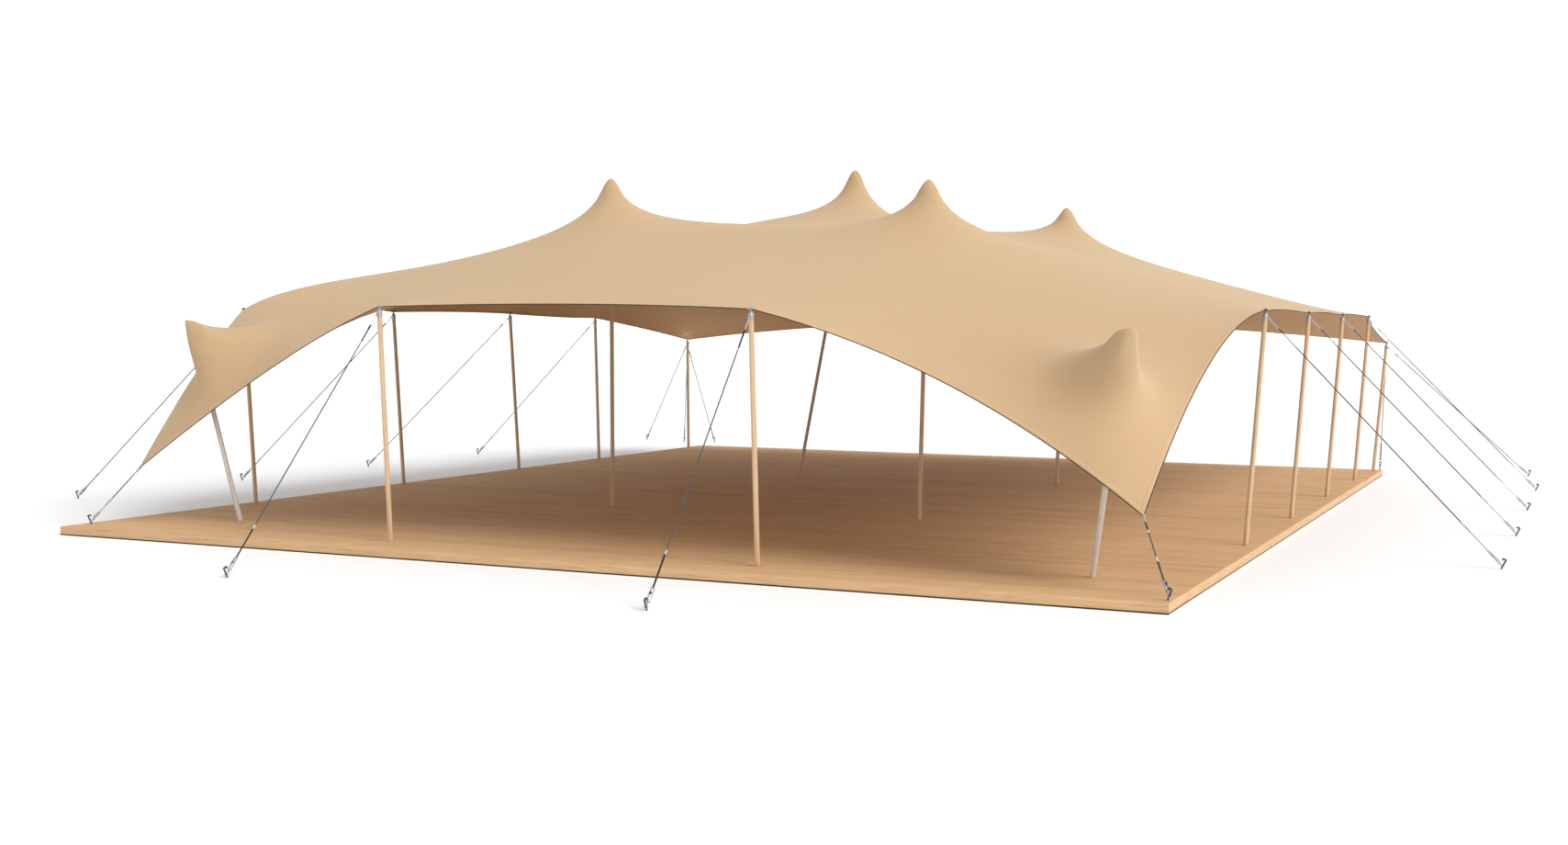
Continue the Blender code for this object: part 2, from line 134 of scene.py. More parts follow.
# Floor and light
FLOOR_RADIUS = 140.0
FLOOR_SIDES = 64
HORIZON_SKY = 1.28
OVERHEAD_SKY = 0.55
HORIZON_TOP = 0.20
OVERHEAD_FROM = 0.55
KEY_DIRECTION = (0.72, -0.20, 0.66)
KEY_STRENGTH = 2.7
KEY_SPREAD = 40.0


def on_deck(x, y, height):
    """The world point at x from the deck's left edge, y from its front edge, above its top."""
    return Vector((x - DECK_WIDTH / 2, y - DECK_LENGTH / 2, DECK_HEIGHT + height))


def on_ground(x, y):
    return Vector((x - DECK_WIDTH / 2, y - DECK_LENGTH / 2, 0.0))


def moved(x, y, z):
    return Matrix.Translation((x, y, z))


def quarter(axis):
    """A quarter turn about one axis."""
    return Matrix.Rotation(math.pi / 2, 4, axis)


def axes(x, y, z):
    """The turn that makes three directions a place's own axes."""
    return Matrix((x, y, z)).transposed().to_4x4()


def circle(radius, count=18):
    """Pairs of coordinates all the way round a circle."""
    turns = [2 * math.pi * k / count for k in range(count)]
    return [(radius * math.cos(a), radius * math.sin(a)) for a in turns]


# Materials


class Nodes:
    """Short calls for a material's node tree."""

    def __init__(self, name):
        self.material = bpy.data.materials.new(name)
        self.material.use_nodes = True
        self.tree = self.material.node_tree
        self.shader = self.tree.nodes["Principled BSDF"]

    def add(self, kind, **inputs):
        node = self.tree.nodes.new(kind)
        for key, value in inputs.items():
            self.feed(node, key.replace("_", " ").title(), value)
        return node

    def feed(self, node, socket, value):
        target = node.inputs[socket]
        if isinstance(value, bpy.types.NodeSocket):
            self.tree.links.new(value, target)
        else:
            target.default_value = value

    def set(self, **inputs):
        for key, value in inputs.items():
            self.feed(self.shader, key.replace("_", " "), value)

    def math(self, operation, a, b=0.0):
        node = self.tree.nodes.new("ShaderNodeMath")
        node.operation = operation
        self.feed(node, 0, a)
        self.feed(node, 1, b)
        return node.outputs[0]

    def coords(self, kind="Object", scale=(1.0, 1.0, 1.0)):
        source = self.tree.nodes.new("ShaderNodeTexCoord")
        mapping = self.tree.nodes.new("ShaderNodeMapping")
        self.feed(mapping, "Scale", scale)
        self.feed(mapping, "Vector", source.outputs[kind])
        return mapping.outputs["Vector"]

    def noise(self, vector, scale, detail=3.0, roughness=0.5, distortion=0.0):
        node = self.add("ShaderNodeTexNoise", vector=vector, scale=scale, detail=detail)
        self.feed(node, "Roughness", roughness)
        self.feed(node, "Distortion", distortion)
        return node.outputs["Fac"]

    def ramp(self, value, *stops):
        node = self.tree.nodes.new("ShaderNodeValToRGB")
        self.feed(node, "Fac", value)
        elements = node.color_ramp.elements
        while len(elements) < len(stops):
            elements.new(0.5)
        for element, (place, colour) in zip(elements, stops):
            element.position = place
            element.color = (*colour, 1.0)
        return node.outputs["Color"]

    def mix(self, amount, a, b, blend="MIX"):
        node = self.tree.nodes.new("ShaderNodeMix")
        node.data_type = "RGBA"
        node.blend_type = blend
        self.feed(node, "Factor", amount)
        for socket, value in ((6, a), (7, b)):
            if isinstance(value, tuple):
                value = (*value, 1.0)
            self.feed(node, socket, value)
        return node.outputs[2]

    def scaled(self, value, low, high):
        node = self.add("ShaderNodeMapRange", value=value, to_min=low, to_max=high)
        return node.outputs["Result"]

    def bump(self, height, strength, distance, onto=None):
        node = self.add("ShaderNodeBump", height=height, strength=strength, distance=distance)
        if onto is not None:
            self.feed(node, "Normal", onto)
        return node.outputs["Normal"]

    def weave(self, vector, pitch):
        """Crossed threads, from 0 between them to 1 on their crests."""
        parts = self.tree.nodes.new("ShaderNodeSeparateXYZ")
        self.feed(parts, 0, vector)
        threads = []
        for place in parts.outputs[:2]:
            wave = self.math("SINE", self.math("MULTIPLY", place, math.pi / pitch))
            threads.append(self.math("ABSOLUTE", wave))
        return self.math("MULTIPLY", *threads)


CLOTH = (0.482, 0.338, 0.197)


def shade(tint, factor):
    return tuple(min(1.0, c * factor) for c in tint)


def cloth_material(name, tint):
    n = Nodes(name)
    across = n.coords("UV")
    cloudy = n.noise(across, 0.35, 2.0)
    fine = n.noise(across, 60.0, 3.0, 0.6)
    dark = shade(tint, 0.955)
    light = shade(tint, 1.04)
    colour = n.mix(n.scaled(cloudy, 0.2, 0.8), dark, light)
    colour = n.mix(n.scaled(fine, 0.0, 0.10), colour, shade(tint, 0.80))
    threads = n.weave(across, THREAD_PITCH)
    colour = n.mix(n.scaled(threads, 0.10, 0.0), colour, shade(tint, 0.72))
    n.set(Base_Color=colour, Roughness=n.scaled(fine, 0.80, 0.92))
    n.set(Sheen_Weight=0.04, Sheen_Roughness=0.5, Specular_IOR_Level=0.12)
    n.set(Subsurface_Weight=0.55, Subsurface_Scale=0.015, Subsurface_Radius=(1.0, 0.8, 0.6))
    soft = n.bump(n.noise(across, 2.2, 2.0), 0.25, 0.004)
    n.set(Normal=n.bump(threads, 0.35, 0.0004, soft))
    return n.material


def plain_cloth(name, tint, pitch=0.003, roughness=0.8):
    """Tight webbing or binding, in its own length and width."""
    n = Nodes(name)
    along = n.coords("UV")
    threads = n.weave(along, pitch)
    worn = n.noise(along, 40.0, 3.0)
    colour = n.mix(n.scaled(threads, 0.45, 0.0), tint, shade(tint, 0.45))
    colour = n.mix(n.scaled(worn, 0.0, 0.25), colour, shade(tint, 1.7))
    n.set(Base_Color=colour, Roughness=roughness, Specular_IOR_Level=0.3)
    n.set(Normal=n.bump(threads, 0.5, 0.0006))
    return n.material


def timber(name, tint, kind, along, roughness):
    """Planed wood with its grain along one axis of its coordinates."""
    n = Nodes(name)
    stretch = [26.0, 26.0, 26.0]
    stretch[along] = 1.1
    grain = n.coords(kind, tuple(stretch))
    wander = n.noise(n.coords(kind, tuple(s * 0.3 for s in stretch)), 1.0, 2.0, 0.5, 0.4)
    streaks = n.noise(grain, 1.6, 6.0, 0.62, 0.7)
    fine = tuple(s * (2.0 if axis == along else 9.0) for axis, s in enumerate(stretch))
    pores = n.noise(n.coords(kind, fine), 1.0, 2.0, 0.5)
    dark = tuple(c * f for c, f in zip(tint, (0.74, 0.66, 0.55)))
    light = shade(tint, 1.10)
    colour = n.ramp(streaks, (0.30, dark), (0.52, tint), (0.72, light))
    colour = n.mix(n.scaled(wander, 0.0, 0.35), colour, shade(tint, 0.86))
    colour = n.mix(n.scaled(pores, -0.10, 0.22), colour, dark)
    n.set(Roughness=n.scaled(streaks, roughness + 0.10, roughness - 0.06))
    n.set(Specular_IOR_Level=0.2)
    n.set(Normal=n.bump(n.math("ADD", streaks, n.math("MULTIPLY", pores, 0.6)), 0.3, 0.0012))
    return n, colour


def board_material():
    n, colour = timber("deck_boards", (0.660, 0.420, 0.225), "UV", 0, 0.56)
    tone = n.tree.nodes.new("ShaderNodeAttribute")
    tone.attribute_name = "tone"
    lightness = n.scaled(tone.outputs["Fac"], 0.86, 1.08)
    grey = n.ramp(lightness, (0.0, (0.0, 0.0, 0.0)), (1.0, (1.0, 1.0, 1.0)))
    colour = n.mix(1.0, colour, grey, "MULTIPLY")
    n.set(Base_Color=colour, Specular_IOR_Level=0.012)
    return n.material


def wood_material(name, tint, kind, along, roughness, **more):
    n, colour = timber(name, tint, kind, along, roughness)
    n.set(Base_Color=colour, **more)
    return n.material


def metal(name, tint, roughness, metallic, spangle):
    """Steel, paint or rubber with a faint mottle and small scratches."""
    n = Nodes(name)
    place = n.coords("Object")
    mottle = n.noise(place, spangle, 3.0, 0.6)
    fine = n.noise(place, 400.0, 2.0)
    colour = n.mix(n.scaled(mottle, 0.0, 1.0), tint, shade(tint, 0.72))
    n.set(Base_Color=colour, Metallic=metallic)
    n.set(Roughness=n.scaled(mottle, roughness - 0.08, roughness + 0.12))
    n.set(Normal=n.bump(fine, 0.15, 0.0002))
    return n.material


def rope_material():
    n = Nodes("guy_rope")
    place = n.tree.nodes.new("ShaderNodeSeparateXYZ")
    n.tree.links.new(n.coords("Object"), place.inputs[0])
    angle = n.math("ARCTAN2", place.outputs[1], place.outputs[0])
    turns = n.math("ADD", n.math("MULTIPLY", angle, 4.0), n.math("MULTIPLY", place.outputs[2], 180.0))
    strand = n.math("ABSOLUTE", n.math("SINE", turns))
    colour = n.mix(n.scaled(strand, 0.0, 1.0), (0.018, 0.018, 0.019), (0.075, 0.075, 0.078))
    n.set(Base_Color=colour, Roughness=0.5, Metallic=0.2, Specular_IOR_Level=0.5)
    n.set(Normal=n.bump(strand, 0.6, 0.0012))
    return n.material


def floor_material():
    n = Nodes("studio_floor")
    fine = n.noise(n.coords("Object"), 0.4, 2.0)
    n.set(Base_Color=n.mix(n.scaled(fine, 0.0, 1.0), (0.90, 0.90, 0.90), (0.91, 0.91, 0.91)))
    n.set(Roughness=0.95, Specular_IOR_Level=0.1)
    return n.material


MATERIALS = {
    "cloth": cloth_material("canopy_cloth", CLOTH),
    # The hem band's tint is 6% lighter than the cloth: a painted highlight along the bound hem.
    "hem": cloth_material("canopy_hem", shade(CLOTH, 1.06)),
    "piping": plain_cloth("hem_piping", (0.060, 0.040, 0.024)),
    "boards": board_material(),
    "edges": wood_material("deck_edges", (0.620, 0.400, 0.215), "UV", 0, 0.5),
    "bearers": wood_material("bearer_wood", (0.52, 0.34, 0.18), "Object", 1, 0.6),
    # The plinth's near-black tint is partly a dark rubber strip and partly painted shadow in the gap under
    # the edge boards.
    "plinth": metal("plinth_painted_shadow", (0.020, 0.015, 0.012), 0.7, 0.0, 20.0),
    "wood": wood_material(
        "pole_wood", (0.620, 0.428, 0.262), "Object", 2, 0.38, Coat_Weight=0.25, Coat_Roughness=0.25
    ),
    "pale": metal("corner_pole_metal", (0.68, 0.62, 0.56), 0.42, 0.25, 12.0),
    "zinc": metal("zinc_steel", (0.50, 0.50, 0.51), 0.38, 0.6, 60.0),
    "stake": metal("stake_steel", (0.09, 0.09, 0.093), 0.45, 0.6, 60.0),
    "webbing": plain_cloth("black_webbing", (0.022, 0.022, 0.023), 0.004, 0.6),
    "rope": rope_material(),
    "rubber": metal("rubber_foot", (0.05, 0.045, 0.04), 0.7, 0.0, 80.0),
    "floor": floor_material(),
}


# Mesh building


def added(name, mesh, place=None):
    """Links a new object for the mesh and lets it ride the part's one body."""
    made = bpy.data.objects.new(name, mesh)
    bpy.context.scene.collection.objects.link(made)
    if place is not None:
        made.matrix_world = place
    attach(made, "root")
    return made


class Shape:
    """Collects closed surfaces, each with its own material, into one mesh."""

    def __init__(self):
        self.verts = []
        self.faces = []
        self.slots = []
        self.uvs = []
        self.materials = []

    def slot(self, material):
        if material not in self.materials:
            self.materials.append(material)
        return self.materials.index(material)

    def add(self, verts, faces, material, uvs=None):
        base = len(self.verts)
        self.verts += [Vector(v) for v in verts]
        self.faces += [tuple(base + k for k in face) for face in faces]
        self.slots += [self.slot(material)] * len(faces)
        flat = [(0.0, 0.0)] * len(verts) if uvs is None else uvs
        for face in faces:
            self.uvs += [flat[k] for k in face]

    def rings(self, rings, material, closed=False):
        """Skins a row of equal rings of points, with caps unless it closes on itself."""
        sides = len(rings[0])
        count = len(rings)
        faces = []
        for k in range(count if closed else count - 1):
            a = k * sides
            b = (k + 1) % count * sides
            for s in range(sides):
                t = (s + 1) % sides
                faces.append((a + s, a + t, b + t, b + s))
        if not closed:
            faces.append(tuple(range(sides))[::-1])
            faces.append(tuple(range((count - 1) * sides, count * sides)))
        uvs = []
        run = 0.0
        for k, ring in enumerate(rings):
            if k:
                run += (Vector(ring[0]) - Vector(rings[k - 1][0])).length
            girth = (Vector(ring[1]) - Vector(ring[0])).length
            uvs += [(run, girth * s) for s in range(sides)]
        self.add([p for ring in rings for p in ring], faces, material, uvs)

    def turned(self, profile, material, place=Matrix.Identity(4), sides=24):
        """A solid turned about the place's +Z from (radius, height) pairs."""
        rings = []
        for radius, height in profile:
            rings.append([place @ Vector((a, b, height)) for a, b in circle(radius, sides)])
        self.rings(rings, material)

    def tube(self, path, radius, material, sides=8, closed=False, place=Matrix.Identity(4)):
        """A round bar along a path."""
        points = [place @ Vector(p) for p in path]
        count = len(points)
        normal = None
        rings = []
        for k, point in enumerate(points):
            before = points[k - 1] if k or closed else points[0]
            after = points[(k + 1) % count] if k + 1 < count or closed else points[-1]
            along = (after - before).normalized()
            if normal is None:
                normal = along.orthogonal().normalized()
            normal = (normal - along * normal.dot(along)).normalized()
            side = along.cross(normal)
            turns = circle(1.0, sides)
            rings.append([point + (normal * a + side * b) * radius for a, b in turns])
        self.rings(rings, material, closed)

    def strap(self, path, width, thickness):
        """A flat band of webbing along (x, z) pairs, with its width along Y."""
        points = [Vector((x, 0.0, z)) for x, z in path]
        rings = []
        for k, point in enumerate(points):
            before = points[max(k - 1, 0)]
            after = points[min(k + 1, len(points) - 1)]
            along = (after - before).normalized()
            normal = Vector((along.z, 0.0, -along.x)) * thickness / 2
            side = Vector((0.0, width / 2, 0.0))
            edge = side * 0.9
            ring = [point - normal - edge, point - side, point + normal - edge]
            ring += [point + normal + edge, point + side, point - normal + edge]
            rings.append(ring)
        self.rings(rings, "webbing")

    def block(self, low, high, material, chamfer=0.0015):
        """A box with chamfered edges."""
        edit = bmesh.new()
        bmesh.ops.create_cube(edit, size=1.0)
        low = Vector(low)
        high = Vector(high)
        size = Matrix.Diagonal((*(high - low), 1.0))
        bmesh.ops.transform(edit, matrix=Matrix.Translation((low + high) / 2) @ size, verts=edit.verts)
        bmesh.ops.bevel(edit, geom=edit.edges, offset=chamfer, segments=1, affect="EDGES")
        edit.verts.index_update()
        verts = [v.co.copy() for v in edit.verts]
        faces = [tuple(v.index for v in f.verts) for f in edit.faces]
        edit.free()
        self.add(verts, faces, material)

    def build(self, name, place=None, sharp=35.0):
        mesh = bpy.data.meshes.new(name)
        mesh.from_pydata(self.verts, [], self.faces)
        for material in self.materials:
            mesh.materials.append(MATERIALS[material])
        mesh.polygons.foreach_set("material_index", self.slots)
        layer = mesh.uv_layers.new(name="UVMap")
        layer.data.foreach_set("uv", [c for uv in self.uvs for c in uv])
        mesh.update()
        edit = bmesh.new()
        edit.from_mesh(mesh)
        bmesh.ops.recalc_face_normals(edit, faces=edit.faces)
        edit.to_mesh(mesh)
        edit.free()
        mesh.shade_smooth()
        mesh.set_sharp_from_angle(angle=math.radians(sharp))
        return added(name, mesh, place)


def aimed(start, end):
    """The place at start whose +Z runs to end and whose +Y is level."""
    along = (end - start).normalized()
    across = along.cross(Vector((0.0, 0.0, 1.0)))
    if across.length < 1e-4:
        across = Vector((0.0, 1.0, 0.0))
    across = (across - along * across.dot(along)).normalized()
    return Matrix.Translation(start) @ axes(across.cross(along), across, along)


# Canopy


def hem_points():
    """The places that hold the hem, by name."""
    right = DECK_WIDTH + 0.005
    front = 0.45
    return {
        "tip_left": on_deck(0.75, 0.75, 0.80),
        "front_1": on_deck(5.13, front, SIDE_HEIGHT),
        "front_2": on_deck(10.415, front, SIDE_HEIGHT - 0.03),
        "tip_right": on_deck(15.025, 0.42, 0.84),
        "left_1": on_deck(-0.03, 3.75, SIDE_HEIGHT),
        "left_2": on_deck(-0.02, 7.53, SIDE_HEIGHT),
        "left_3": on_deck(0.0, 11.17, SIDE_HEIGHT),
        "left_4": on_deck(-0.01, 14.4, SIDE_HEIGHT - 0.06),
        "left_5": on_deck(0.03, 18.5, BACK_CORNER_HEIGHT),
        "right_1": on_deck(right, 5.35, SIDE_HEIGHT),
        "right_2": on_deck(right, 9.05, SIDE_HEIGHT),
        "right_3": on_deck(right, 12.75, SIDE_HEIGHT),
        "right_4": on_deck(right, 16.4, SIDE_HEIGHT),
        "right_5": on_deck(right + 0.06, 18.85, BACK_CORNER_HEIGHT + 0.04),
    }


# Each span of a hem: its two places, how far it bows inwards in plan and how far its middle lifts.
FRONT_HEM = (
    ("tip_left", "front_1", 0.35, 0.30),
    ("front_1", "front_2", 0.30, 0.05),
    ("front_2", "tip_right", 0.30, 0.25),
)
LEFT_HEM = (
    ("tip_left", "left_1", 0.08, 0.22),
    ("left_1", "left_2", 0.10, 0.08),
    ("left_2", "left_3", 0.10, 0.02),
    ("left_3", "left_4", 0.10, -0.02),
    ("left_4", "left_5", 0.10, 0.0),
)
RIGHT_HEM = (
    ("tip_right", "right_1", 0.0, 0.50),
    ("right_1", "right_2", 0.05, 0.03),
    ("right_2", "right_3", 0.05, 0.03),
    ("right_3", "right_4", 0.05, 0.03),
    ("right_4", "right_5", 0.10, 0.05),
)
BACK_HEM = (("left_5", "right_5", 0.60, 0.42),)

# Inner poles under the sheet: where each head is, and where its foot stands.
KING_POLES = {
    "king_1": ((5.33, 5.95, 5.09), (5.33, 6.0)),
    "king_2": ((10.43, 6.3, 4.95), (10.33, 6.3)),
    "king_3": ((6.3, 13.4, 5.785), (5.365, 13.05)),
    "king_4": ((10.62, 12.9, 4.945), (10.5, 12.9)),
}
# A corner pole lifts the sheet straight up at the first place and then pushes it outwards.
CORNER_POLES = {
    "corner_left": ((1.754, 1.562, 2.857), (1.786, 1.593)),
    "corner_right": ((14.24, 1.46, 2.80), (14.2, 1.5)),
}

# Where the sheet bellies out more: the place on the deck, the reach and the amount.
SWELLS = (((4.06, 13.2), 1.2, 0.4),)


def hem_line(spans, places, cells, inward):
    """Points along one hem, one for each grid line."""
    lengths = [(places[b] - places[a]).to_2d().length for a, b, _, _ in spans]
    counts = [round(cells * length / sum(lengths)) for length in lengths]
    counts[-1] += cells - sum(counts)
    points = [np.array(places[spans[0][0]])]
    for (start, end, bow, lift), count in zip(spans, counts):
        a = np.array(places[start])
        b = np.array(places[end])
        for step in range(1, count + 1):
            t = step / count
            hump = 4 * t * (1 - t)
            points.append(a + (b - a) * t + np.array((*inward, 0.0)) * bow * hump)
            points[-1][2] += lift * hump
    return np.array(points)


def relax(field, free, source=0.0):
    """Settles the free points of a grid until each is the mean of its neighbours plus source."""
    cells = max(free.shape) - 1
    over = 2 / (1 + math.sin(math.pi / cells))
    i, j = np.indices(free.shape)
    shares = [(free & ((i + j) % 2 == k))[1:-1, 1:-1] * over for k in (0, 1)]
    if field.ndim == 3:
        shares = [share[..., None] for share in shares]
    inner = field[1:-1, 1:-1]
    for _ in range(SOLVER_SWEEPS):
        for share in shares:
            mean = (field[:-2, 1:-1] + field[2:, 1:-1] + field[1:-1, :-2] + field[1:-1, 2:]) / 4
            inner += share * (mean + source - inner)


def nearest_node(grid, point):
    apart = np.hypot(grid[..., 0] - point.x, grid[..., 1] - point.y)
    return np.unravel_index(np.argmin(apart), apart.shape)


def form_sheet(places):
    """The sheet's underside as a grid of points, with the grid node over each inner pole."""
    across = round(DECK_WIDTH / SHEET_CELL)
    along = round(DECK_LENGTH / SHEET_CELL)
    front = hem_line(FRONT_HEM, places, across, (0.0, 1.0))
    back = hem_line(BACK_HEM, places, across, (0.0, -1.0))
    left = hem_line(LEFT_HEM, places, along, (1.0, 0.0))
    right = hem_line(RIGHT_HEM, places, along, (-1.0, 0.0))
    u = np.linspace(0.0, 1.0, across + 1)[:, None, None]
    v = np.linspace(0.0, 1.0, along + 1)[None, :, None]
    sides = (1 - u) * left[None] + u * right[None]
    ends = (1 - v) * front[:, None] + v * back[:, None]
    corners = (1 - u) * (1 - v) * front[0] + u * (1 - v) * front[-1]
    corners = corners + (1 - u) * v * back[0] + u * v * back[-1]
    grid = sides + ends - corners
    free = np.zeros(grid.shape[:2], bool)
    free[1:-1, 1:-1] = True
    plan = np.ascontiguousarray(grid[..., :2])
    relax(plan, free)
    grid[..., :2] = plan
    nodes = {}
    for name, (head, _) in {**KING_POLES, **CORNER_POLES}.items():
        point = on_deck(*head)
        i, j = nearest_node(grid, point)
        nodes[name] = (i, j)
        drop = TIP_DROP if name in KING_POLES else CORNER_TIP_DROP
        for di, dj in itertools.product((-1, 0, 1), repeat=2):
            grid[i + di, j + dj, 2] = point.z - drop * (di * di + dj * dj)
            free[i + di, j + dj] = False
    height = np.ascontiguousarray(grid[..., 2])
    billow = BILLOW_MIDDLE + BILLOW_LEFT * np.exp(-u[..., 0] / BILLOW_REACH)
    for place, reach, amount in SWELLS:
        centre = on_deck(*place, 0.0)
        apart = np.hypot(grid[..., 0] - centre.x, grid[..., 1] - centre.y)
        billow = billow + amount * np.exp(-((apart / reach) ** 2))
    relax(height, free, billow[1:-1, 1:-1] * SHEET_CELL**2 / 4)
    grid[..., 2] = height
    push_bumps(grid, nodes)
    return grid, nodes


def side_of(point):
    """-1 on the left of the deck's middle and 1 on its right."""
    return math.copysign(1.0, point[0])


def push_bumps(grid, nodes):
    """Pushes the cloth over each slanted corner pole outwards, towards the deck's corner."""
    for name in CORNER_POLES:
        centre = grid[nodes[name]][:2].copy()
        outward = np.array((side_of(centre), -1.0)) * BUMP_PUSH / math.sqrt(2)
        apart = np.linalg.norm(grid[..., :2] - centre, axis=-1)
        share = np.exp(-((apart / BUMP_REACH) ** 2))
        share[:, 0] = share[:, -1] = share[0] = share[-1] = 0.0
        grid[..., :2] += share[..., None] * outward


def corner_head(grid, node):
    """Where a corner pole's head meets the cloth, a little inboard of its bump's peak."""
    i, j = node
    inboard = grid[i - round(side_of(grid[node])), j + 1]
    return Vector(grid[node] + (inboard - grid[node]) * HEAD_INSET)


def line_places(last, fine_at, dense):
    """Where to read the grid: a third of a cell near pole heads, wider apart elsewhere."""
    places = []
    k = 0
    while k < last:
        near = min(abs(k + 0.5 - f) for f in fine_at)
        if near < 4:
            places += [k, k + 1 / 3, k + 2 / 3]
            k += 1
        elif near < 9 or k < dense or last - k < 4 or k + 1 == last:
            places.append(k)
            k += 1
        else:
            places.append(k)
            k += 2
    return np.array([*places, last])


def between(grid, places, axis):
    """Reads a grid at fractional places along one axis, on smooth curves through its points."""
    last = grid.shape[axis] - 1
    low = np.clip(np.floor(places).astype(int), 0, last - 1)
    t = places - low
    t = t.reshape([-1 if a == axis else 1 for a in range(grid.ndim)])
    take = [np.take(grid, np.clip(low + step, 0, last), axis) for step in (-1, 0, 1, 2)]
    first = low.reshape(t.shape) == 0
    final = low.reshape(t.shape) == last - 1
    before = np.where(first, 2 * take[1] - take[2], take[0])
    after = np.where(final, 2 * take[2] - take[1], take[3])
    slope_a = (take[2] - before) / 2
    slope_b = (after - take[1]) / 2
    rise = take[2] - take[1]
    curve = take[1] + slope_a * t
    curve += (3 * rise - 2 * slope_a - slope_b) * t**2
    curve += (slope_a + slope_b - 2 * rise) * t**3
    return curve


def normals_of(points):
    du = np.gradient(points, axis=0)
    dv = np.gradient(points, axis=1)
    normal = np.cross(du, dv)
    return normal / np.linalg.norm(normal, axis=-1, keepdims=True)


def run_lengths(points, axis):
    steps = np.linalg.norm(np.diff(points, axis=axis), axis=-1)
    steps = steps.mean(axis=1 - axis)
    return np.concatenate([[0.0], np.cumsum(steps)])


def make_cloth(grid, nodes):
    """The stretched sheet as one closed thin skin, its two faces joined along all four sides."""
    rows = line_places(grid.shape[0] - 1, [i for i, _ in nodes.values()], 12)
    columns = line_places(grid.shape[1] - 1, [j for _, j in nodes.values()], 4)
    under = between(between(grid, rows, 0), columns, 1)
    under[..., 2] += CONTACT_GAP
    upward = normals_of(under)
    over = under + upward * CLOTH_THICKNESS
    m, n = under.shape[:2]
    across = run_lengths(under, 0)
    along = run_lengths(under, 1)
    uv = np.stack(np.meshgrid(across, along, indexing="ij"), -1).reshape(-1, 2)
    uvs = [tuple(p) for p in uv] * 2
    size = m * n
    index = np.arange(size).reshape(m, n)
    quads = np.stack([index[:-1, :-1], index[1:, :-1], index[1:, 1:], index[:-1, 1:]], -1)
    quads = quads.reshape(-1, 4)
    rim = edge_loop(index).tolist()
    faces = [tuple(q) for q in quads[:, ::-1].tolist()]
    faces += [tuple(q) for q in (quads + size).tolist()]
    faces += [(a, b, b + size, a + size) for a, b in zip(rim, rim[1:] + rim[:1])]
    shape = Shape()
    shape.add(np.concatenate([under.reshape(-1, 3), over.reshape(-1, 3)]), faces, "cloth", uvs)
    cloth = shape.build("canopy_cloth", sharp=60.0)
    return cloth, under, over, upward


def edge_loop(field):
    """A grid's outer line of points, all the way round."""
    return np.concatenate([field[:-1, 0], field[-1, :-1], field[:0:-1, -1], field[0, :0:-1]])


def make_hem(under, over, upward):
    """The sewn hem band on both faces and the dark bound edge."""
    edge = (edge_loop(under) + edge_loop(over)) / 2
    normal = edge_loop(upward)
    ahead = np.roll(edge, -1, axis=0) - np.roll(edge, 1, axis=0)
    ahead /= np.linalg.norm(ahead, axis=-1, keepdims=True)
    inward = np.cross(normal, ahead)
    half = CLOTH_THICKNESS / 2 + HEM_LIFT
    band = Shape()
    profile = [(HEM_WIDTH, CLOTH_THICKNESS / 2 - 0.0004), (HEM_WIDTH - 0.003, half)]
    profile += [(HEM_WIDTH * 0.5, half + 0.0006), (0.004, half), (0.0, 0.0)]
    profile += [(0.004, -half), (HEM_WIDTH * 0.5, -half - 0.0006), (HEM_WIDTH - 0.003, -half)]
    profile += [(HEM_WIDTH, -CLOTH_THICKNESS / 2 + 0.0004)]
    rings = []
    for p, i, u in zip(edge, inward, normal):
        rings.append([Vector(p + i * a + u * b) for a, b in profile])
    band.rings(rings, "hem", closed=True)
    hem = band.build("canopy_hem_band", sharp=60.0)
    piping = Shape()
    outer = [Vector(p - i * PIPING_RADIUS * 0.4) for p, i in zip(edge, inward)]
    piping.tube(outer, PIPING_RADIUS, "piping", sides=8, closed=True)
    return hem, piping.build("canopy_hem_piping", sharp=80.0)


# Deck


